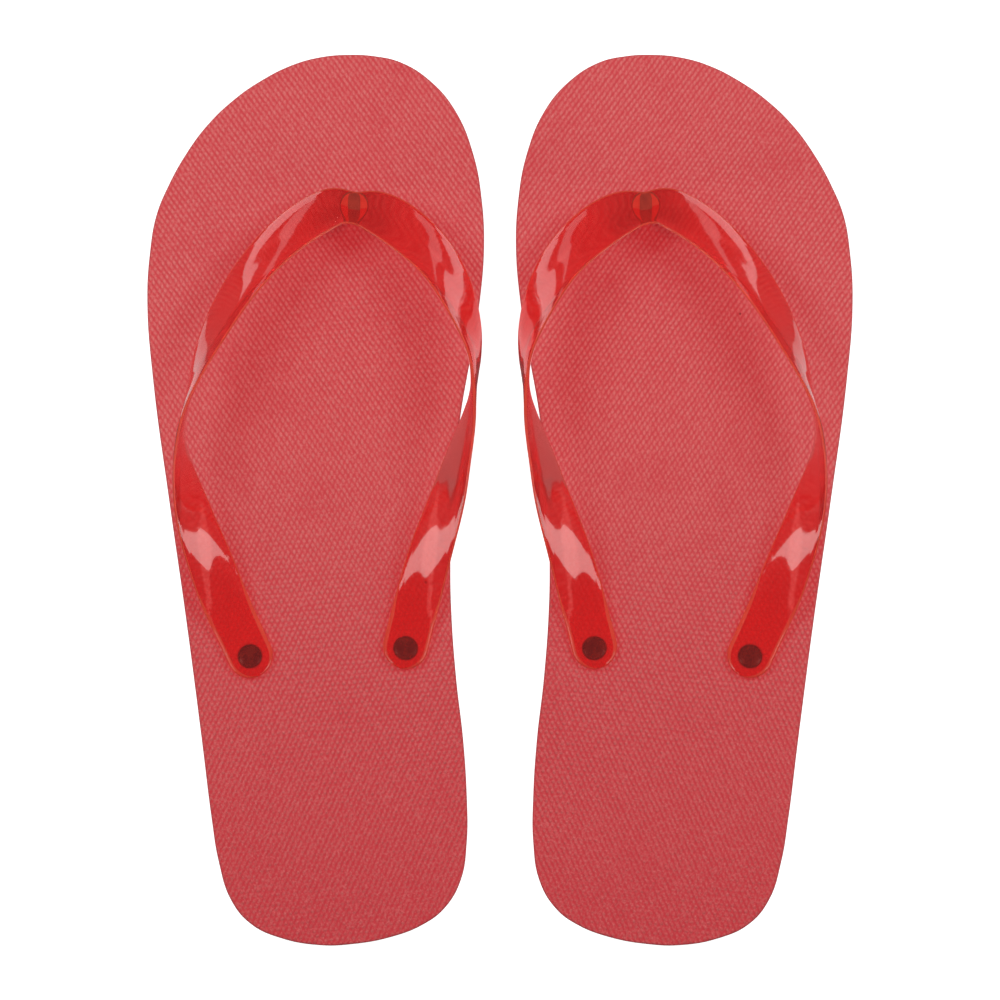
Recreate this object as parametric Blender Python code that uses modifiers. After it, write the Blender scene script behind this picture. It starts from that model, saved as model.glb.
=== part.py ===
"""A pair of flip-flop sandals, toes towards +Y, lying side by side about the plane X = 0.

Each sandal is a flat foam sole and one moulded strap of soft clear plastic, held by three plugs.
The strap is divided at its two side arms, so that each arm can flop about the line through its
own two ends. The left sandal is the right one mirrored. Metres, +Z up, floor at Z = 0.
"""
import math

import bmesh
import bpy
import numpy as np
from mathutils import Matrix, Vector

MM = 0.001
RIGHT = 1
LEFT = -1

# Sole, millimetres: the right sole's outline seen from above, starting at the toe, clockwise.
SOLE_THICKNESS = 15.0
SOLE_EDGE_ROUND = 0.8
SOLE_OUTLINE = [
    (48.0, 142.5), (57.5, 141.7), (67.0, 139.0), (76.6, 134.1), (84.8, 128.4), (93.8, 119.8),
    (100.8, 110.2), (106.1, 100.6), (110.0, 91.0), (112.0, 79.5), (112.9, 63.8), (111.0, 38.2),
    (105.9, 0.0), (100.4, -38.6), (95.4, -77.0), (92.2, -102.6), (90.1, -115.4), (86.0, -128.2),
    (79.6, -135.8), (70.2, -140.2), (57.4, -142.5), (47.8, -142.2), (35.0, -139.9),
    (24.5, -135.8), (17.8, -130.7), (12.6, -121.8), (10.6, -109.0), (10.6, -96.2),
    (11.8, -77.0), (14.0, -57.8), (15.6, -36.0), (15.9, -20.0), (15.3, 2.0), (12.6, 27.5),
    (9.4, 46.0), (6.4, 64.5), (5.1, 81.4), (5.8, 95.8), (8.4, 110.2), (14.3, 124.6),
    (22.3, 134.1), (31.8, 140.1), (39.8, 142.0),
]

# Strap, millimetres: one band from the outer tail, forward round the toe, to the inner tail.
# Each row is x, y, height of the band's middle above the footbed, lean, width and thickness.
# The lean is 0 degrees where the upper edge points in over the foot, 90 where the band stands on
# edge, and 180 where it lies flat on the sole.
BAND_ROWS = [
    (76.7, -56.2, 1.7, 180, 14.8, 2.8), (80.0, -49.6, 1.7, 180, 14.8, 2.8),
    (83.5, -42.0, 1.9, 180, 14.9, 2.8), (88.0, -32.1, 4.6, 177, 15.2, 2.4),
    (92.0, -21.5, 9.4, 164, 15.2, 2.0), (96.0, -10.5, 14.8, 147, 15.2, 1.8),
    (99.3, 0.5, 19.7, 130, 15.2, 1.7), (101.4, 10.5, 23.2, 112, 15.2, 1.7),
    (101.8, 20.5, 25.6, 97, 15.2, 1.7), (99.9, 30.5, 26.9, 89, 15.2, 1.7),
    (96.6, 40.5, 26.9, 75, 15.2, 1.7), (91.5, 52.5, 25.4, 59, 15.2, 1.7),
    (85.2, 64.0, 23.1, 49, 15.2, 1.9), (77.0, 75.2, 20.5, 40, 15.2, 2.1),
    (67.2, 85.0, 18.2, 31, 15.0, 2.3), (57.5, 91.6, 16.7, 22, 14.2, 2.5),
    (51.5, 93.7, 16.0, 16, 12.4, 2.6), (46.9, 93.2, 15.7, 14, 10.8, 2.6),
    (42.3, 92.6, 15.9, 14, 13.0, 2.6), (36.5, 90.5, 16.6, 15, 15.0, 2.5),
    (28.6, 85.1, 18.0, 20, 15.8, 2.3), (20.4, 76.8, 20.1, 32, 15.7, 2.1),
    (14.4, 66.8, 22.6, 44, 15.4, 1.9), (10.3, 56.2, 24.8, 59, 15.2, 1.8),
    (8.2, 45.5, 26.4, 77, 15.2, 1.8), (8.5, 35.0, 27.0, 92, 15.2, 1.8),
    (10.1, 25.0, 26.2, 107, 15.2, 1.8), (13.0, 13.8, 23.9, 121, 15.2, 1.8),
    (16.2, 1.8, 20.0, 135, 15.1, 1.8), (20.0, -10.0, 14.7, 148, 15.0, 1.9),
    (23.8, -22.4, 8.5, 162, 14.8, 2.1), (26.9, -34.0, 3.5, 176, 14.6, 2.6),
    (28.9, -41.6, 1.8, 180, 14.6, 2.8), (30.2, -46.9, 1.7, 180, 14.6, 2.8),
    (31.9, -53.9, 1.7, 180, 14.6, 2.8),
]
BAND_STATION_STEP = 3.5
BAND_EDGE_POINTS = 6
BAND_FACE_POINTS = 2

# Ends of the two flopping arms: x, y and height above the floor. Each pair is the arm's hinge line.
ARM_ENDS = {
    "outer_arm": ((77.0, 75.2, 35.5), (92.0, -21.5, 24.4)),
    "inner_arm": ((20.4, 76.8, 35.1), (23.8, -22.4, 23.5)),
}
ARM_GAP = 0.3

# Plugs, millimetres: x, y of each plug, stem radius, retaining disc radius.
PLUGS = {
    "toe": (46.6, 93.6, 3.6, 10.0),
    "outer": (80.0, -50.0, 3.65, 9.0),
    "inner": (30.2, -47.4, 3.65, 9.0),
}
DISC_THICKNESS = 2.4
DISC_ABOVE_FLOOR = 0.5
FIT_GAP = 0.3

# Toe post, millimetres: its flat middle between the toes, half across and half along the foot,
# and the round boss that carries the strap.
POST_FLAT = (1.9, 4.1)
POST_BOSS_RADIUS = 4.6
ROUND_STEPS = 40

SOLE_COLOUR = (0.62, 0.07, 0.09, 1.0)
STRAP_COLOUR = (0.62, 0.02, 0.02, 1.0)


def clear_scene():
    for existing in list(bpy.data.objects):
        bpy.data.objects.remove(existing, do_unlink=True)


def new_collection(name):
    collection = bpy.data.collections.new(name)
    bpy.context.scene.collection.children.link(collection)
    return collection


def new_material(name, colour, roughness):
    material = bpy.data.materials.new(name)
    material.use_nodes = True
    shader = material.node_tree.nodes["Principled BSDF"]
    shader.inputs["Base Color"].default_value = colour
    shader.inputs["Roughness"].default_value = roughness
    shader.inputs["Metallic"].default_value = 0.0
    return material


def new_object(name, mesh, collection, colour=None, roughness=0.5):
    part = bpy.data.objects.new(name, mesh)
    collection.objects.link(part)
    if colour:
        mesh.materials.clear()
        mesh.materials.append(new_material(name, colour, roughness))
    return part


def add_boolean(part, other, operation):
    other.display_type = "WIRE"
    other.hide_render = True
    modifier = part.modifiers.new(other.name, "BOOLEAN")
    modifier.operation = operation
    modifier.solver = "EXACT"
    modifier.object = other


def turned_shape(name, profile, x, y, collection):
    """Turn a profile of radius and height, given from axis to axis, about a vertical line."""
    mesh = bpy.data.meshes.new(name)
    points = [(radius * MM, 0.0, height * MM) for radius, height in reversed(profile)]
    mesh.from_pydata(points, [(i, i + 1) for i in range(len(points) - 1)], [])
    part = new_object(name, mesh, collection)
    part.location = (x * MM, y * MM, 0.0)
    screw = part.modifiers.new("turn", "SCREW")
    screw.axis = "Z"
    screw.angle = math.tau
    screw.steps = ROUND_STEPS
    screw.render_steps = ROUND_STEPS
    screw.use_merge_vertices = True
    screw.merge_threshold = 0.00001
    return part


def plug_profile(stem_radius, disc_radius):
    """Radius and height of a plug's retaining disc and the foot of its stem, from the axis out."""
    disc_top = DISC_ABOVE_FLOOR + DISC_THICKNESS
    return [
        (0.0, DISC_ABOVE_FLOOR), (disc_radius - 0.5, DISC_ABOVE_FLOOR),
        (disc_radius, DISC_ABOVE_FLOOR + 0.5), (disc_radius, disc_top), (stem_radius, disc_top),
    ]


def lofted_shape(name, rings, x, y, collection):
    """Join upright ellipses, given as half width, half length and height, into a closed shape."""
    turns = [math.tau * k / ROUND_STEPS for k in range(ROUND_STEPS)]
    points = [(half_x * math.cos(turn) * MM, half_y * math.sin(turn) * MM, height * MM)
              for half_x, half_y, height in rings for turn in turns]
    faces = [tuple(reversed(range(ROUND_STEPS)))]
    for low in range(0, len(points) - ROUND_STEPS, ROUND_STEPS):
        high = low + ROUND_STEPS
        for k in range(ROUND_STEPS):
            following = (k + 1) % ROUND_STEPS
            faces.append((low + k, low + following, high + following, high + k))
    faces.append(tuple(range(len(points) - ROUND_STEPS, len(points))))
    mesh = bpy.data.meshes.new(name)
    mesh.from_pydata(points, [], faces)
    part = new_object(name, mesh, collection)
    part.location = (x * MM, y * MM, 0.0)
    return part


def make_sole(side, name, collection, cutters):
    curve = bpy.data.curves.new(name, "CURVE")
    curve.dimensions = "2D"
    curve.fill_mode = "BOTH"
    curve.resolution_u = 6
    curve.extrude = (SOLE_THICKNESS / 2 - SOLE_EDGE_ROUND) * MM
    curve.bevel_depth = SOLE_EDGE_ROUND * MM
    curve.bevel_resolution = 2
    curve.offset = -SOLE_EDGE_ROUND * MM
    spline = curve.splines.new("BEZIER")
    spline.bezier_points.add(len(SOLE_OUTLINE) - 1)
    spline.use_cyclic_u = True
    for point, (x, y) in zip(spline.bezier_points, SOLE_OUTLINE[::side]):
        point.co = (x * side * MM, y * MM, 0.0)
        point.handle_left_type = "AUTO"
        point.handle_right_type = "AUTO"
    outline = bpy.data.objects.new(name + "_outline", curve)
    collection.objects.link(outline)
    bpy.context.view_layer.update()
    evaluated = outline.evaluated_get(bpy.context.evaluated_depsgraph_get())
    mesh = bpy.data.meshes.new_from_object(evaluated)
    bpy.data.objects.remove(outline, do_unlink=True)
    solid = bmesh.new()
    solid.from_mesh(mesh)
    bmesh.ops.remove_doubles(solid, verts=solid.verts, dist=0.00001)
    bmesh.ops.translate(solid, verts=solid.verts, vec=(0.0, 0.0, SOLE_THICKNESS / 2 * MM))
    bmesh.ops.recalc_face_normals(solid, faces=solid.faces)
    solid.to_mesh(mesh)
    solid.free()
    mesh.shade_smooth()
    mesh.set_sharp_from_angle(angle=math.radians(35))
    sole = new_object(name, mesh, collection, SOLE_COLOUR, 0.8)
    for place, (x, y, stem_radius, disc_radius) in PLUGS.items():
        recess = DISC_ABOVE_FLOOR + DISC_THICKNESS + FIT_GAP
        hole = [
            (0.0, -1.0), (disc_radius + FIT_GAP, -1.0), (disc_radius + FIT_GAP, recess),
            (stem_radius + FIT_GAP, recess), (stem_radius + FIT_GAP, SOLE_THICKNESS + 1.0),
            (0.0, SOLE_THICKNESS + 1.0),
        ]
        cutter = turned_shape(f"{name}_{place}_hole", hole, x * side, y, cutters)
        add_boolean(sole, cutter, "DIFFERENCE")
    weld = sole.modifiers.new("weld", "WELD")
    weld.merge_threshold = 0.00005


class BandPath:
    """Natural cubic spline through the band's rows, measured along its length in millimetres."""

    def __init__(self, rows):
        self.rows = np.array(rows, float)
        self.steps = np.linalg.norm(np.diff(self.rows[:, :3], axis=0), axis=1)
        self.knots = np.concatenate(([0.0], np.cumsum(self.steps)))
        self.length = self.knots[-1]
        count = len(self.rows)
        system = np.eye(count)
        right_side = np.zeros_like(self.rows)
        for i in range(1, count - 1):
            before, after = self.steps[i - 1], self.steps[i]
            system[i, i - 1:i + 2] = (before, 2 * (before + after), after)
            rise_after = (self.rows[i + 1] - self.rows[i]) / after
            rise_before = (self.rows[i] - self.rows[i - 1]) / before
            right_side[i] = 6 * (rise_after - rise_before)
        self.second = np.linalg.solve(system, right_side)

    def at(self, distance):
        i = int(np.clip(np.searchsorted(self.knots, distance) - 1, 0, len(self.steps) - 1))
        step = self.steps[i]
        a = (self.knots[i + 1] - distance) / step
        b = 1.0 - a
        bend = (a ** 3 - a) * self.second[i] + (b ** 3 - b) * self.second[i + 1]
        return a * self.rows[i] + b * self.rows[i + 1] + bend * step ** 2 / 6

    def nearest(self, point):
        distances = np.arange(0.0, self.length, 0.25)
        target = np.array(point) - (0.0, 0.0, SOLE_THICKNESS)
        return min(distances, key=lambda d: np.linalg.norm(self.at(d)[:3] - target))


def band_stations(path, start, end):
    """Distances at which the band gets a section; the round ends take theirs by equal angles."""
    first_radius = path.rows[0, 4] / 2
    last_radius = path.rows[-1, 4] / 2
    angles = [math.radians(a) for a in (78, 66, 54, 42, 30, 15)]
    first = [first_radius * (1 - math.sin(a)) for a in angles]
    last = [path.length - last_radius * (1 - math.sin(a)) for a in reversed(angles)]
    count = round((path.length - first_radius - last_radius) / BAND_STATION_STEP)
    middle = np.linspace(first_radius, path.length - last_radius, count)
    return [d for d in [*first, *middle, *last] if start <= d <= end]


def band_width(path, distance):
    """Full width along the band, drawn in to a half circle over each round end."""
    width = path.at(distance)[4]
    for from_end, radius in ((distance, path.rows[0, 4] / 2),
                             (path.length - distance, path.rows[-1, 4] / 2)):
        if from_end < radius:
            width = 2 * math.sqrt(radius ** 2 - (radius - from_end) ** 2)
    return width


def band_section(path, distance):
    """Points of the band's rounded section at one distance, in metres above the floor."""
    here = path.at(distance)
    tangent = Vector(path.at(distance + 0.05)[:3] - path.at(distance - 0.05)[:3]).normalized()
    inward = Vector((-tangent.y, tangent.x, 0.0)).normalized()
    lean = math.radians(here[3])
    across = inward * math.cos(lean) + Vector((0.0, 0.0, math.sin(lean)))
    across = (across - tangent * across.dot(tangent)).normalized()
    through = tangent.cross(across)
    centre = Vector((here[0], here[1], here[2] + SOLE_THICKNESS))
    radius = here[5] / 2
    reach = max(band_width(path, distance) / 2 - radius, 0.05)
    points = []
    for end in (1, -1):
        for k in range(BAND_EDGE_POINTS):
            angle = math.pi * (k / (BAND_EDGE_POINTS - 1) - 0.5)
            offset = (across * (reach + radius * math.cos(angle)) + through * radius * math.sin(angle))
            points.append(centre + offset * end)
        for k in range(1, BAND_FACE_POINTS + 1):
            along = reach * (1 - 2 * k / (BAND_FACE_POINTS + 1))
            points.append(centre + (across * along + through * radius) * end)
    return [point * MM for point in points]


def loft_band(path, start, end):
    band = bmesh.new()
    rings = []
    for distance in band_stations(path, start, end):
        rings.append([band.verts.new(point) for point in band_section(path, distance)])
    for ring, following in zip(rings, rings[1:]):
        for i in range(len(ring)):
            j = (i + 1) % len(ring)
            band.faces.new((ring[i], ring[j], following[j], following[i]))
    band.faces.new(rings[0])
    band.faces.new(rings[-1])
    return band


def cut_band(band, point, outward, x_side=None):
    """Cut the band off square to outward at point; x_side limits the cut to one side of the toe."""
    middle = PLUGS["toe"][0] * MM
    faces = [f for f in band.faces
             if x_side is None or (f.calc_center_median().x - middle) * x_side > 0]
    region = set(faces)
    for face in faces:
        region.update(face.edges)
        region.update(face.verts)
    bmesh.ops.bisect_plane(band, geom=list(region), dist=1e-7, plane_co=point, plane_no=outward,
                           clear_outer=True)
    open_edges = [edge for edge in band.edges if edge.is_boundary]
    bmesh.ops.edgeloop_fill(band, edges=open_edges)


def band_object(side, name, band, collection, origin=Vector((0.0, 0.0, 0.0))):
    """Store the band's mesh about origin, mirrored for the left sandal."""
    bmesh.ops.translate(band, verts=band.verts, vec=-origin)
    if side == LEFT:
        bmesh.ops.transform(band, matrix=Matrix.Diagonal((-1.0, 1.0, 1.0, 1.0)), verts=band.verts)
    bmesh.ops.recalc_face_normals(band, faces=band.faces)
    mesh = bpy.data.meshes.new(name)
    band.to_mesh(mesh)
    band.free()
    mesh.shade_smooth()
    mesh.set_sharp_from_angle(angle=math.radians(50))
    part = new_object(name, mesh, collection, STRAP_COLOUR, 0.12)
    part.location = (origin.x * side, origin.y, origin.z)
    return part


def make_strap(side, prefix, collection, cutters):
    path = BandPath(BAND_ROWS)
    margin = 14.0
    cuts = {}
    for arm, ends in ARM_ENDS.items():
        toe_end, tail_end = (Vector(end) * MM for end in ends)
        cuts[arm] = (toe_end, tail_end, (tail_end - toe_end).normalized())
    half_gap = ARM_GAP / 2 * MM

    reach = {arm: [path.nearest(end) for end in ends] for arm, ends in ARM_ENDS.items()}
    for arm, (toe_end, tail_end, along) in cuts.items():
        low, high = sorted(reach[arm])
        band = loft_band(path, low - margin, high + margin)
        cut_band(band, tail_end - along * half_gap, along)
        cut_band(band, toe_end + along * half_gap, -along)
        band_object(side, f"{prefix}_{arm}", band, collection, toe_end)

    spans = {"outer_tail": (0.0, reach["outer_arm"][1] + margin),
             "inner_tail": (reach["inner_arm"][1] - margin, path.length)}
    for place, arm in (("outer", "outer_arm"), ("inner", "inner_arm")):
        toe_end, tail_end, along = cuts[arm]
        band = loft_band(path, *spans[f"{place}_tail"])
        cut_band(band, tail_end + along * half_gap, -along)
        tail = band_object(side, f"{prefix}_{place}_tail", band, collection)
        x, y, stem_radius, disc_radius = PLUGS[place]
        top = SOLE_THICKNESS + BAND_ROWS[0][2]
        profile = plug_profile(stem_radius, disc_radius) + [(stem_radius, top), (0.0, top)]
        plug = turned_shape(f"{prefix}_{place}_plug", profile, x * side, y, cutters)
        add_boolean(tail, plug, "UNION")

    band = loft_band(path, reach["outer_arm"][0] - margin, reach["inner_arm"][0] + margin)
    for arm, x_side in (("outer_arm", 1), ("inner_arm", -1)):
        toe_end, tail_end, along = cuts[arm]
        cut_band(band, toe_end - along * half_gap, along, x_side)
    yoke = band_object(side, f"{prefix}_toe_post", band, collection)
    x, y, stem_radius, disc_radius = PLUGS["toe"]
    top = SOLE_THICKNESS + path.at(path.nearest((x, y, SOLE_THICKNESS + 15.0)))[2]
    half_x, half_y = POST_FLAT
    rings = [(radius, radius, height) for radius, height in plug_profile(stem_radius, disc_radius)[1:]]
    rings += [
        (stem_radius, stem_radius, SOLE_THICKNESS + 1.5), (half_x, half_y, SOLE_THICKNESS + 4.5),
        (half_x, half_y, top - 4.0), (POST_BOSS_RADIUS, POST_BOSS_RADIUS, top - 1.8),
        (POST_BOSS_RADIUS, POST_BOSS_RADIUS, top),
    ]
    post = lofted_shape(f"{prefix}_post", rings, x * side, y, cutters)
    add_boolean(yoke, post, "UNION")


def main():
    clear_scene()
    sandals = new_collection("flip_flops")
    cutters = new_collection("cutters")
    for side, prefix in ((RIGHT, "right"), (LEFT, "left")):
        make_sole(side, f"{prefix}_sole", sandals, cutters)
        make_strap(side, prefix, sandals, cutters)


main()
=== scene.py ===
"""Looks for the pair of flip-flops: coral foam soles with an embossed footbed, and clear red straps.

The soles are the CAD nodes with a foam material. Each strap is drawn as two bands that meet over the toe
post. Shapes and lamps are laid out for the right sandal, toes towards +Y, and mirrored for the left one.
The strap is drawn in millimetres, and everything else is in metres.
"""
import math

import bpy
import numpy as np
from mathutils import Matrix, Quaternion, Vector


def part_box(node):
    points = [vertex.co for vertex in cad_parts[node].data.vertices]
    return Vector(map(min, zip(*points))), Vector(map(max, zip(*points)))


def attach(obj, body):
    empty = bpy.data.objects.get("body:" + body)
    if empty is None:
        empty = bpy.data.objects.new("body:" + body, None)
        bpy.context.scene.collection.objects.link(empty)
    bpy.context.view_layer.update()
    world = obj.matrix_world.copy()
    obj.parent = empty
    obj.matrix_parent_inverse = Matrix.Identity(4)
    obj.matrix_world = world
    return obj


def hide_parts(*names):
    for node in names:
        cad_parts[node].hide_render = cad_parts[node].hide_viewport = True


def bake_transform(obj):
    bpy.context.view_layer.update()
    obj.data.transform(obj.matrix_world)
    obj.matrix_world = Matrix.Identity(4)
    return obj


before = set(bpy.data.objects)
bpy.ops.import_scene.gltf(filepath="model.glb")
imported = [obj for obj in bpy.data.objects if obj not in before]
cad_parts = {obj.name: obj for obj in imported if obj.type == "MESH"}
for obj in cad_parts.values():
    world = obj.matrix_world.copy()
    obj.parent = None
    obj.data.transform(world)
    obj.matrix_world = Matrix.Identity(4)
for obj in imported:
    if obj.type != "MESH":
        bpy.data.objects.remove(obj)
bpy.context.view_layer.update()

MM = 0.001
RIGHT = 1
LEFT = -1
SIDES = ((RIGHT, "right"), (LEFT, "left"))
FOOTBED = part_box("right_sole")[1].z
FOOTBED_MM = FOOTBED / MM

# The strap's middle line, as in the CAD, millimetres: x, y, height above the footbed, lean in degrees
# (0 upper edge pointing in over the foot, 90 standing on edge, 180 flat on the sole), width, thickness.
OUTER_ROWS = [
    (76.7, -56.2, 1.7, 180, 14.8, 2.8), (80.0, -49.6, 1.7, 180, 14.8, 2.8),
    (83.5, -42.0, 1.9, 180, 14.9, 2.8), (88.0, -32.1, 4.6, 177, 15.2, 2.4),
    (92.0, -21.5, 9.4, 164, 15.2, 2.0), (96.0, -10.5, 14.8, 147, 15.2, 1.8),
    (99.3, 0.5, 19.7, 130, 15.2, 1.7), (101.4, 10.5, 23.2, 112, 15.2, 1.7),
    (101.8, 20.5, 25.6, 97, 15.2, 1.7), (99.9, 30.5, 26.9, 89, 15.2, 1.7),
    (96.6, 40.5, 26.9, 75, 15.2, 1.7), (91.5, 52.5, 25.4, 59, 15.2, 1.7),
    (85.2, 64.0, 23.1, 49, 15.2, 1.9), (77.0, 75.2, 20.5, 40, 15.2, 2.1),
    (67.2, 85.0, 18.2, 31, 15.0, 2.3), (57.5, 91.6, 16.7, 22, 14.2, 2.5),
    (51.5, 93.7, 16.0, 16, 12.4, 2.6),
]
TOE_ROW = (46.9, 93.2, 15.7, 14, 10.8, 2.6)
INNER_ROWS = [
    (42.3, 92.6, 15.9, 14, 13.0, 2.6), (36.5, 90.5, 16.6, 15, 15.0, 2.5),
    (28.6, 85.1, 18.0, 20, 15.8, 2.3), (20.4, 76.8, 20.1, 32, 15.7, 2.1),
    (14.4, 66.8, 22.6, 44, 15.4, 1.9), (10.3, 56.2, 24.8, 59, 15.2, 1.8),
    (8.2, 45.5, 26.4, 77, 15.2, 1.8), (8.5, 35.0, 27.0, 92, 15.2, 1.8),
    (10.1, 25.0, 26.2, 107, 15.2, 1.8), (13.0, 13.8, 23.9, 121, 15.2, 1.8),
    (16.2, 1.8, 20.0, 135, 15.1, 1.8), (20.0, -10.0, 14.7, 148, 15.0, 1.9),
    (23.8, -22.4, 8.5, 162, 14.8, 2.1), (26.9, -34.0, 3.5, 176, 14.6, 2.6),
    (28.9, -41.6, 1.8, 180, 14.6, 2.8), (30.2, -46.9, 1.7, 180, 14.6, 2.8),
    (31.9, -53.9, 1.7, 180, 14.6, 2.8),
]
BAND_ROWS = OUTER_ROWS + [TOE_ROW] + INNER_ROWS
HEIGHT, LEAN, WIDTH, THICKNESS = 2, 3, 4, 5

# Band section, millimetres: how far its faces swell in the middle, and the rim raised along each edge,
# placed and spread as a share of the half width.
CROWN = 0.2
RIM = 0.08
RIM_PLACE = 0.94
RIM_SPREAD = 0.06

# Radius of the band's edges as a share of its half thickness: small where the band is free, large where
# it lies flat as a tail pad, with the leans between which it changes.
EDGE_SHARE = 0.38
PAD_EDGE_SHARE = 0.8
PAD_LEANS = (172.0, 179.0)

# Least thickness and half width, millimetres, where a tail's round end closes.
THINNEST = 0.4
SHORTEST_REACH = 0.02

# Fineness of the band's mesh: millimetres between sections, degrees turned round a tail's end, and the
# points round each edge and across each face.
STATION_STEP = 1.3
TANGENT_STEP = 0.05
TAIL_TURNS = range(4, 90, 6)
EDGE_POINTS = 9
FACE_POINTS = 25
# Material slot of the painted edge light on the faces round each edge.
EDGE_LIGHT_SLOT = 1

# Plugs, millimetres: where they pass through the sole, and the levels of their discs under it.
PLUGS = {"outer": (80.0, -50.0), "inner": (30.2, -47.4)}
TOE_PLUG = (46.6, 93.6)
PLUG_DISC_RADIUS = 9.0
TOE_DISC_RADIUS = 10.0
DISC_BOTTOM = 0.5
DISC_TOP = 2.9
DISC_ROUND = 0.5
DISC_NECK = 4.2
STEM_RADIUS = 3.65
RING_POINTS = 48
SHARP_DEGREES = 40

# Embossed grain of the footbed: its pitch, how far a cell strays, and three families of grooves, each
# with the direction it is counted in, in degrees from +X, and its depth at the heel and at the toes.
CELL = 1.53 * MM
STRAY = 0.5 * MM
GROOVES = ((144.7, 0.55, 0.9), (25.5, 0.9, 0.48), (84.8, 0.45, 0.12))

# Colours: the footbed's grooves and crests, a darker and a lighter red that paint shade into the grooves
# and a highlight onto the crests, the sole's side, the painted shade that grows towards the heel, the
# footbed's mottling, grain and specks, and the light that comes through a strap.
GROOVE_RED_AND_SHADE = (0.51, 0.043, 0.052, 1.0)
CREST_RED_AND_HIGHLIGHT = (0.597, 0.135, 0.127, 1.0)
SIDE_RED = (0.54, 0.07, 0.075, 1.0)
HEEL_PAINTED_SHADE = (0.46, 0.020, 0.030, 1.0)
MOTTLE_RED = (0.48, 0.03, 0.04, 1.0)
GRAIN_PINK = (0.70, 0.21, 0.20, 1.0)
DARK_SPECK = (0.22, 0.03, 0.03, 1.0)
PALE_SPECK = (0.75, 0.55, 0.52, 1.0)
STRAP_SHADE = (0.87, 0.51, 0.54, 1.0)
WHITE = (1.0, 1.0, 1.0, 1.0)

# Floor: half its size, its grey by itself and in the straps' gloss, and how much of its white glow
# shows through a strap.
FLOOR_REACH = 3.0
FLOOR_GREY = (0.42, 0.42, 0.42, 1.0)
FLOOR_IN_GLOSS = (0.12, 0.12, 0.12, 1.0)
FLOOR_THROUGH_STRAP = 0.3
ROOM_LIGHT = 0.12

# Camera straight above with a long lens, covering this width of the footbed.
CAMERA_HEIGHT = 6.0
VIEW_WIDTH = 0.32
SENSOR = 36.0
CLIP_END = 50.0


class Graph:
    """Short way to add shader nodes to a material and join them."""

    def __init__(self, name):
        self.material = bpy.data.materials.new(name)
        self.material.use_nodes = True
        self.tree = self.material.node_tree
        self.tree.nodes.clear()

    def add(self, kind, inputs=None, **settings):
        node = self.tree.nodes.new("ShaderNode" + kind)
        for key, value in settings.items():
            setattr(node, key, value)
        for key, value in (inputs or {}).items():
            if isinstance(value, bpy.types.NodeSocket):
                self.tree.links.new(value, node.inputs[key])
            else:
                node.inputs[key].default_value = value
        return node

    def math(self, operation, first, second=0.0, third=0.0):
        inputs = {0: first, 1: second, 2: third}
        return self.add("Math", inputs, operation=operation).outputs[0]

    def noise(self, vector, scale, detail, roughness=0.5):
        inputs = {"Vector": vector, "Scale": scale, "Detail": detail, "Roughness": roughness}
        return self.add("TexNoise", inputs).outputs

    def ramp(self, value, low, high, to_low=0.0, to_high=1.0):
        inputs = {"Value": value, "From Min": low, "From Max": high, "To Min": to_low,
                  "To Max": to_high}
        return self.add("MapRange", inputs, interpolation_type="SMOOTHSTEP").outputs["Result"]

    def mix(self, factor, first, second):
        node = self.add("Mix", {0: factor, 6: first, 7: second}, data_type="RGBA")
        return node.outputs[2]

    def finish(self, shader):
        self.add("OutputMaterial", {"Surface": shader})
        return self.material


def foam_lozenges(g, here, place):
    """How high the footbed's lozenges stand, 0 to about 1, between three families of grooves."""
    stray = g.add("SeparateXYZ", {0: g.noise(here, 330.0, 1.0)["Color"]}).outputs
    x = g.math("MULTIPLY_ADD", stray["X"], STRAY, g.math("ABSOLUTE", place["X"]))
    # The cells are a little longer at the heel than at the toes.
    stretch = g.math("MULTIPLY", g.math("MULTIPLY", place["Y"], place["Y"]), 0.2)
    y = g.math("MULTIPLY_ADD", stray["Y"], STRAY, g.math("ADD", place["Y"], stretch))
    ridges = []
    for degrees, heel_depth, toe_depth in GROOVES:
        angle = math.radians(degrees)
        along_x = g.math("MULTIPLY", x, math.cos(angle) / CELL)
        phase = g.math("MULTIPLY_ADD", y, math.sin(angle) / CELL, along_x)
        groove = g.ramp(g.math("PINGPONG", phase, 0.5), 0.02, 0.38, 1.0, 0.0)
        depth = g.ramp(place["Y"], -0.09, 0.09, heel_depth, toe_depth)
        ridges.append(g.math("SUBTRACT", 1.0, g.math("MULTIPLY", groove, depth)))
    lozenge = g.math("MULTIPLY", g.math("MULTIPLY", ridges[0], ridges[1]), ridges[2])
    lozenge = g.math("MULTIPLY", g.math("POWER", lozenge, 1.5), 1.12)
    uneven = g.noise(here, 520.0, 1.0)[0]
    lozenge = g.math("MULTIPLY", lozenge, g.ramp(uneven, 0.3, 0.7, 0.6, 1.1))
    return g.math("MULTIPLY", lozenge, g.ramp(place["Y"], -0.12, 0.1, 1.7, 0.95))


def add_specks(g, here, colour, flat, name, scale, size, share, shade):
    """The colour with a few round specks on the flat faces; share is how many cells stay bare."""
    speck = g.add("TexVoronoi", {"Vector": here, "Scale": scale})
    speck.name = f"{name}_specks"
    chosen = g.add("SeparateColor", {0: speck.outputs["Color"]}).outputs[0]
    dot = g.math("MULTIPLY", g.math("LESS_THAN", speck.outputs["Distance"], size),
                 g.math("GREATER_THAN", chosen, share))
    return g.mix(g.math("MULTIPLY", dot, flat), colour, shade)


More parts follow.
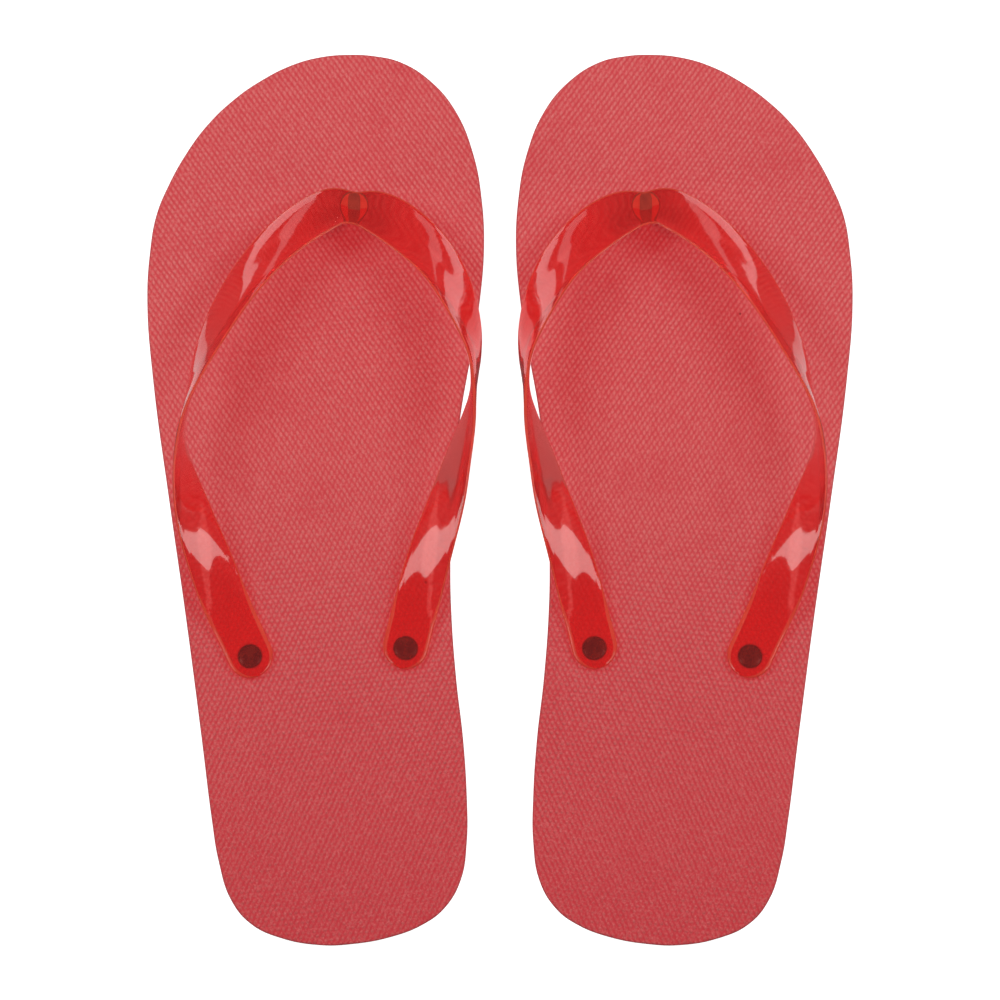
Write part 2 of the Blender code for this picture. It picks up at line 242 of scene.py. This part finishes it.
def foam_material():
    """EVA foam: embossed on its flat faces, with painted shade in the grooves and a painted highlight on
    the crests, and painted shade growing towards the heel; plain and finely grained round its side.
    """
    g = Graph("embossed_foam")
    here = g.add("TexCoord").outputs["Object"]
    place = g.add("SeparateXYZ", {0: here}).outputs
    lozenge = foam_lozenges(g, here, place)
    grain = g.noise(here, 1500.0, 2.0, 0.6)[0]
    mottle = g.noise(here, 45.0, 3.0, 0.55)[0]
    facing = g.add("SeparateXYZ", {0: g.add("NewGeometry").outputs["Normal"]}).outputs["Z"]
    flat = g.ramp(g.math("ABSOLUTE", facing), 0.5, 0.9)
    height = g.math("MULTIPLY_ADD", grain, 0.3, g.math("MULTIPLY", lozenge, flat))
    # Painted shade and highlight: the grooves take a darker red and the crests a lighter one.
    colour = g.mix(lozenge, GROOVE_RED_AND_SHADE, CREST_RED_AND_HIGHLIGHT)
    colour = g.mix(flat, SIDE_RED, colour)
    # Painted shade: the footbed darkens towards the heel, standing in for the light falling off there.
    colour = g.mix(g.ramp(place["Y"], -0.17, 0.06, 0.6, 0.0), colour, HEEL_PAINTED_SHADE)
    darker = g.mix(0.6, colour, MOTTLE_RED)
    colour = g.mix(g.ramp(mottle, 0.5, 0.75, 0.0, 0.4), colour, darker)
    colour = g.mix(g.ramp(grain, 0.45, 0.75, 0.0, 0.3), colour, GRAIN_PINK)
    colour = add_specks(g, here, colour, flat, "dark", 130.0, 0.05, 0.90, DARK_SPECK)
    colour = add_specks(g, here, colour, flat, "pale", 60.0, 0.022, 0.94, PALE_SPECK)
    bump = g.add("Bump", {"Height": height, "Strength": 0.9, "Distance": 0.2 * MM})
    rough = g.ramp(grain, 0.3, 0.7, 0.55, 0.75)
    shader = g.add("BsdfPrincipled", {
        "Base Color": colour, "Roughness": rough, "Normal": bump.outputs[0],
        "Specular IOR Level": 0.4, "Sheen Weight": 0.0})
    return g.finish(shader.outputs[0])


def clear_pvc(name, tint, haze, haze_share):
    """See-through soft PVC with a glossy skin, a little cloudy, letting red light through its shadow."""
    g = Graph(name)
    waviness = g.noise(g.add("TexCoord").outputs["Object"], 160.0, 1.0)[0]
    bump = g.add("Bump", {"Height": waviness, "Strength": 0.3, "Distance": 0.15 * MM})
    plastic = g.add("BsdfPrincipled", {
        "Base Color": tint, "Roughness": 0.08, "IOR": 1.5, "Transmission Weight": 1.0,
        "Specular IOR Level": 0.05, "Coat Weight": 1.0, "Coat Roughness": 0.015, "Coat IOR": 1.45,
        "Normal": bump.outputs[0], "Coat Normal": bump.outputs[0]})
    cloud = g.add("BsdfTranslucent", {"Color": haze})
    body = g.add("BsdfDiffuse", {"Color": haze})
    cloud = g.add("MixShader", {0: 0.5, 1: cloud.outputs[0], 2: body.outputs[0]})
    plastic = g.add("MixShader", {0: haze_share, 1: plastic.outputs[0], 2: cloud.outputs[0]})
    shade = g.add("BsdfTransparent", {"Color": STRAP_SHADE})
    path = g.add("LightPath")
    mixed = g.add("MixShader", {0: path.outputs["Is Shadow Ray"], 1: plastic.outputs[0],
                                2: shade.outputs[0]})
    return g.finish(mixed.outputs[0])


def solid_pvc(name, colour, fleck):
    """The same plastic where it is too thick to see through, a little uneven in its depth."""
    g = Graph(name)
    cloud = g.noise(g.add("TexCoord").outputs["Object"], 420.0, 2.0)[0]
    shade = g.mix(g.ramp(cloud, 0.35, 0.7), colour, fleck)
    shader = g.add("BsdfPrincipled", {"Base Color": shade, "Roughness": 0.25, "Coat Weight": 0.5,
                                      "Coat Roughness": 0.05})
    return g.finish(shader.outputs[0])


def floor_material():
    """Pale floor that glows white in the picture, faintly through the straps, and is dim in their gloss."""
    g = Graph("pale_floor")
    path = g.add("LightPath").outputs
    colour = g.mix(path["Is Glossy Ray"], FLOOR_GREY, FLOOR_IN_GLOSS)
    glow = g.math("MULTIPLY_ADD", path["Is Transmission Ray"], FLOOR_THROUGH_STRAP,
                  path["Is Camera Ray"])
    shader = g.add("BsdfPrincipled", {
        "Base Color": colour, "Roughness": 0.6, "Specular IOR Level": 0.1,
        "Emission Color": WHITE, "Emission Strength": glow})
    return g.finish(shader.outputs[0])


FOAM = foam_material()
CLEAR = clear_pvc("clear_red_pvc", (0.99, 0.27, 0.25, 1.0), (0.96, 0.036, 0.034, 1.0), 0.165)
# Painted light along the band's rounded edges: a paler, cloudier orange standing in for light refracted and
# reflected there.
EDGE_LIGHT_PVC = clear_pvc("edge_painted_light_pvc", (0.99, 0.22, 0.12, 1.0), (0.85, 0.16, 0.10, 1.0), 0.42)
SOLID = solid_pvc("solid_red_pvc", (0.50, 0.085, 0.045, 1.0), (0.56, 0.11, 0.06, 1.0))
# Partly the deep red of thick plastic and partly painted shade: the stems are near black, standing in for
# the dark view down through each plug into its hole.
STEM_DEEP_RED_AND_SHADE = solid_pvc("stem_red_and_painted_shade_pvc", (0.014, 0.005, 0.002, 1.0), (0.06, 0.018, 0.008, 1.0))
POST = solid_pvc("post_pvc", (0.17, 0.080, 0.045, 1.0), (0.24, 0.10, 0.055, 1.0))


class BandPath:
    """Natural cubic spline through the band's rows, measured along its length in millimetres."""

    def __init__(self, rows):
        self.rows = np.array(rows, float)
        self.steps = np.linalg.norm(np.diff(self.rows[:, :3], axis=0), axis=1)
        self.knots = np.concatenate(([0.0], np.cumsum(self.steps)))
        self.length = self.knots[-1]
        self.start_radius = self.rows[0, WIDTH] / 2
        self.end_radius = self.rows[-1, WIDTH] / 2
        count = len(self.rows)
        system = np.eye(count)
        right_side = np.zeros_like(self.rows)
        for i in range(1, count - 1):
            before, after = self.steps[i - 1], self.steps[i]
            system[i, i - 1:i + 2] = (before, 2 * (before + after), after)
            rise_after = (self.rows[i + 1] - self.rows[i]) / after
            rise_before = (self.rows[i] - self.rows[i - 1]) / before
            right_side[i] = 6 * (rise_after - rise_before)
        self.second = np.linalg.solve(system, right_side)

    def at(self, distance):
        i = int(np.clip(np.searchsorted(self.knots, distance) - 1, 0, len(self.steps) - 1))
        step = self.steps[i]
        a = (self.knots[i + 1] - distance) / step
        b = 1.0 - a
        bend = (a ** 3 - a) * self.second[i] + (b ** 3 - b) * self.second[i + 1]
        return a * self.rows[i] + b * self.rows[i + 1] + bend * step ** 2 / 6

    def point(self, distance):
        """Middle of the band there, in millimetres above the floor."""
        here = self.at(distance)
        return Vector((here[0], here[1], here[HEIGHT] + FOOTBED_MM))


PATH = BandPath(BAND_ROWS)
TOE_DISTANCE = PATH.knots[len(OUTER_ROWS)]
REACHES = {"outer": (0.0, TOE_DISTANCE), "inner": (TOE_DISTANCE, PATH.length)}


def band_frame(distance):
    """Directions across and through the band, its width, thickness and edge share there."""
    here = PATH.at(distance)
    ahead, behind = PATH.at(distance + TANGENT_STEP), PATH.at(distance - TANGENT_STEP)
    tangent = Vector(ahead[:3] - behind[:3]).normalized()
    inward = Vector((-tangent.y, tangent.x, 0.0)).normalized()
    lean = math.radians(here[LEAN])
    across = inward * math.cos(lean) + Vector((0.0, 0.0, math.sin(lean)))
    across = (across - tangent * across.dot(tangent)).normalized()
    width, thickness = here[WIDTH], here[THICKNESS]
    for from_end, radius in ((distance, PATH.start_radius), (PATH.length - distance, PATH.end_radius)):
        if from_end < radius:
            width = 2 * math.sqrt(max(radius ** 2 - (radius - from_end) ** 2, 0.0))
            if width < thickness:
                thickness = max(width, THINNEST)
    edge_share = float(np.interp(here[LEAN], PAD_LEANS, (EDGE_SHARE, PAD_EDGE_SHARE)))
    return across, tangent.cross(across), width, thickness, edge_share


def band_section(distance):
    """Points round the band's section, crowned on both faces and rounded at its edges."""
    across, through, width, thickness, edge_share = band_frame(distance)
    centre = PATH.point(distance)
    middle = thickness / 2 + CROWN
    radius = middle * edge_share
    reach = max(width / 2 - radius, SHORTEST_REACH)
    points = []
    for end in (1, -1):
        for k in range(EDGE_POINTS):
            angle = math.pi * (k / (EDGE_POINTS - 1) - 0.5)
            offset = across * (reach + radius * math.cos(angle)) + through * radius * math.sin(angle)
            points.append(centre + offset * end)
        for k in range(1, FACE_POINTS + 1):
            share = 1 - 2 * k / (FACE_POINTS + 1)
            rim = RIM * math.exp(-(((abs(share) - RIM_PLACE) / RIM_SPREAD) ** 2))
            height = middle + (radius - middle) * abs(share) ** 3 + rim
            points.append(centre + (across * reach * share + through * height) * end)
    return points


def band_stations(start, end):
    """Evenly spaced distances from start to end, closer together over a round tail end."""
    count = round((end - start) / STATION_STEP)
    stations = list(np.linspace(start, end, count + 1))
    radius = PATH.start_radius if start == 0.0 else PATH.end_radius
    turns = [radius * (1 - math.cos(math.radians(degrees))) for degrees in TAIL_TURNS]
    if start == 0.0:
        return turns + [d for d in stations if d > radius]
    return [d for d in stations if d < PATH.length - radius] + [end - t for t in reversed(turns)]


def new_piece(name, points, faces, side, material):
    """A smooth mesh from points in millimetres on the right sandal, mirrored for the left one."""
    mesh = bpy.data.meshes.new(name)
    if side == LEFT:
        faces = [face[::-1] for face in faces]
    mesh.from_pydata([(p[0] * side * MM, p[1] * MM, p[2] * MM) for p in points], [], faces)
    mesh.materials.append(material)
    mesh.shade_smooth()
    piece = bpy.data.objects.new(name, mesh)
    bpy.context.collection.objects.link(piece)
    return piece


def wall_faces(point_count, size):
    """Faces that join rings of size points, one after another, into a tube with open ends."""
    faces = []
    for low in range(0, point_count - size, size):
        for k in range(size):
            j = (k + 1) % size
            faces.append((low + k, low + j, low + size + j, low + size + k))
    return faces


def make_band(side, name, start, end):
    """Half a strap, closed over its round tail and open where it meets the other half."""
    rings = [band_section(d) for d in band_stations(start, end)]
    size = len(rings[0])
    points = [point for ring in rings for point in ring]
    faces = wall_faces(len(points), size)
    wall = len(faces)
    if start == 0.0:
        faces.append(tuple(reversed(range(size))))
    else:
        faces.append(tuple(range(len(points) - size, len(points))))
    band = new_piece(name, points, faces, side, CLEAR)
    band.data.materials.append(EDGE_LIGHT_PVC)
    # The faces round each edge get the painted edge light.
    for face in band.data.polygons[:wall]:
        if face.index % size % (size // 2) < EDGE_POINTS - 1:
            face.material_index = EDGE_LIGHT_SLOT
    return band


def add_plug_part(side, prefix, name, rings, place, material, squareness=2):
    """A closed part of a plug, which stays with the sandal, made of upright rings from the bottom up.

    A ring is its half width, half length and height, or its radius and height. A squareness of 2 makes
    the rings ellipses, and a greater one squares their corners.
    """
    rings = [ring if len(ring) == 3 else (ring[0], ring[0], ring[1]) for ring in rings]
    outline = []
    for k in range(RING_POINTS):
        turn = math.tau * (k + 0.5) / RING_POINTS
        fit = (abs(math.cos(turn)) ** squareness + abs(math.sin(turn)) ** squareness) ** (-1 / squareness)
        outline.append((fit * math.cos(turn), fit * math.sin(turn)))
    points = [(place[0] + half_x * across, place[1] + half_y * along, height)
              for half_x, half_y, height in rings for across, along in outline]
    bottom = tuple(reversed(range(RING_POINTS)))
    top = tuple(range(len(points) - RING_POINTS, len(points)))
    faces = [bottom] + wall_faces(len(points), RING_POINTS) + [top]
    piece = new_piece(f"{prefix}_{name}", points, faces, side, material)
    piece.data.set_sharp_from_angle(angle=math.radians(SHARP_DEGREES))
    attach(piece, f"{prefix}_sandal")
    return piece


def disc_rings(radius):
    """A retaining disc with rounded rims, narrowing to the neck of its stem."""
    return [(radius - DISC_ROUND, DISC_BOTTOM), (radius, DISC_BOTTOM + DISC_ROUND),
            (radius, DISC_TOP - DISC_ROUND), (radius - DISC_ROUND, DISC_TOP), (DISC_NECK, DISC_TOP)]


def make_toe_post(side, prefix):
    """The plug between the toes: a disc, a round base, a flat post and a boss under the yoke."""
    yoke = FOOTBED_MM + TOE_ROW[HEIGHT] - TOE_ROW[THICKNESS] / 2
    base = [(3.6, 3.6, 3.0), (3.6, 3.6, FOOTBED_MM + 1.5), (3.2, 3.7, FOOTBED_MM + 2.5),
            (2.2, 4.0, FOOTBED_MM + 3.8)]
    post = [(1.9, 4.1, FOOTBED_MM + 3.9), (1.9, 4.1, yoke - 2.4), (2.0, 4.2, yoke - 0.05)]
    boss = [(2.3, 4.1, yoke - 2.6), (3.6, 4.2, yoke - 1.7), (4.3, 4.3, yoke - 0.9),
            (4.3, 4.3, yoke - 0.15)]
    collar = [(4.2, yoke - 1.3), (4.7, yoke - 0.9), (4.7, yoke - 0.5)]
    add_plug_part(side, prefix, "toe_disc", disc_rings(TOE_DISC_RADIUS), TOE_PLUG, SOLID)
    add_plug_part(side, prefix, "toe_post_base", base, TOE_PLUG, SOLID)
    core = add_plug_part(side, prefix, "toe_post_core", post, TOE_PLUG, POST, squareness=4)
    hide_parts(f"{prefix}_toe_post")
    add_plug_part(side, prefix, "toe_boss", boss, TOE_PLUG, SOLID)
    add_plug_part(side, prefix, "toe_collar", collar, TOE_PLUG, POST)


def make_strap(side, prefix):
    stem = [(STEM_RADIUS, DISC_TOP + 0.1), (STEM_RADIUS, FOOTBED_MM + 0.2),
            (STEM_RADIUS - 0.25, FOOTBED_MM + 0.4)]
    for arm, (start, end) in REACHES.items():
        band = make_band(side, f"{prefix}_{arm}_band", start, end)
        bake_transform(band)
        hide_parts(f"{prefix}_{arm}_arm", f"{prefix}_{arm}_tail")
        add_plug_part(side, prefix, f"{arm}_disc", disc_rings(PLUG_DISC_RADIUS), PLUGS[arm], SOLID)
        # The stem under each tail pad carries the painted shade of the plug's hole.
        add_plug_part(side, prefix, f"{arm}_stem", stem, PLUGS[arm], STEM_DEEP_RED_AND_SHADE)
    make_toe_post(side, prefix)


def add_softbox(side, name, place, aim, width, height, watts, roll=0.0):
    """A rectangular lamp, placed and aimed as on the right and turned about its aim by roll degrees."""
    light = bpy.data.lights.new(name, "AREA")
    light.shape = "RECTANGLE"
    light.size = width
    light.size_y = height
    light.energy = watts
    lamp = bpy.data.objects.new(name, light)
    bpy.context.collection.objects.link(lamp)
    place, aim = (Vector((p[0] * side, p[1], p[2])) for p in (place, aim))
    lamp.location = place
    turn = (aim - place).to_track_quat("-Z", "Y")
    lamp.rotation_euler = (turn @ Quaternion((0.0, 0.0, 1.0), math.radians(roll * side))).to_euler()
    return lamp


def make_lamps(side, prefix):
    """Soft boxes round one sandal, and small cards seen only in the gloss of its strap."""
    rear = add_softbox(side, f"{prefix}_rear_box", (1.45, -0.8, 0.72), (0.0, -0.02, 0.03), 0.9, 0.7, 5.6)
    rear.data.color = (0.82, 1.0, 0.97)
    add_softbox(side, f"{prefix}_front_box", (0.6, 1.0, 0.6), (0.065, 0.085, 0.033), 0.24, 0.3, 0.22)
    top = add_softbox(side, f"{prefix}_top_box", (0.8, 0.45, 1.35), (0.0, 0.05, 0.0), 0.55, 0.55, 14.9)
    top.visible_glossy = False
    top.visible_transmission = False
    cards = [
        ("toe_card", (0.148, 0.215, 0.040), (0.07, 0.07, 0.035), 0.10, 0.06, 0.036, 28.0),
        ("gap_card", (0.026, 0.06, 0.0165), (0.026, 0.06, 1.0), 0.042, 0.036, 0.0021, 0.0),
        ("side_card", (0.133, 0.055, 0.001), (0.133, 0.055, 1.0), 0.035, 0.045, 0.0031, 0.0),
    ]
    for name, place, aim, width, height, watts, roll in cards:
        card = add_softbox(side, f"{prefix}_{name}", place, aim, width, height, watts, roll)
        card.visible_camera = False
        card.visible_diffuse = False
        card.visible_transmission = False


def make_floor():
    mesh = bpy.data.meshes.new("floor")
    corners = [(x * FLOOR_REACH, y * FLOOR_REACH, 0.0) for x, y in ((-1, -1), (1, -1), (1, 1), (-1, 1))]
    mesh.from_pydata(corners, [], [(0, 1, 2, 3)])
    mesh.materials.append(floor_material())
    floor = bpy.data.objects.new("floor", mesh)
    bpy.context.collection.objects.link(floor)


def make_surroundings():
    world = bpy.data.worlds.new("studio")
    world.use_nodes = True
    background = world.node_tree.nodes["Background"]
    background.inputs["Color"].default_value = WHITE
    background.inputs["Strength"].default_value = ROOM_LIGHT
    bpy.context.scene.world = world
    bpy.context.scene.view_settings.view_transform = "Standard"


def make_camera():
    data = bpy.data.cameras.new("camera")
    data.sensor_width = SENSOR
    data.lens = SENSOR * CAMERA_HEIGHT / VIEW_WIDTH
    data.clip_end = CLIP_END
    camera = bpy.data.objects.new("camera", data)
    bpy.context.collection.objects.link(camera)
    camera.location = (0.0, 0.0, FOOTBED + CAMERA_HEIGHT)
    bpy.context.scene.camera = camera


for side, prefix in SIDES:
    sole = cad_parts[f"{prefix}_sole"]
    sole.data.materials.clear()
    sole.data.materials.append(FOAM)
    make_strap(side, prefix)
make_floor()
make_surroundings()
for side, prefix in SIDES:
    make_lamps(side, prefix)
make_camera()
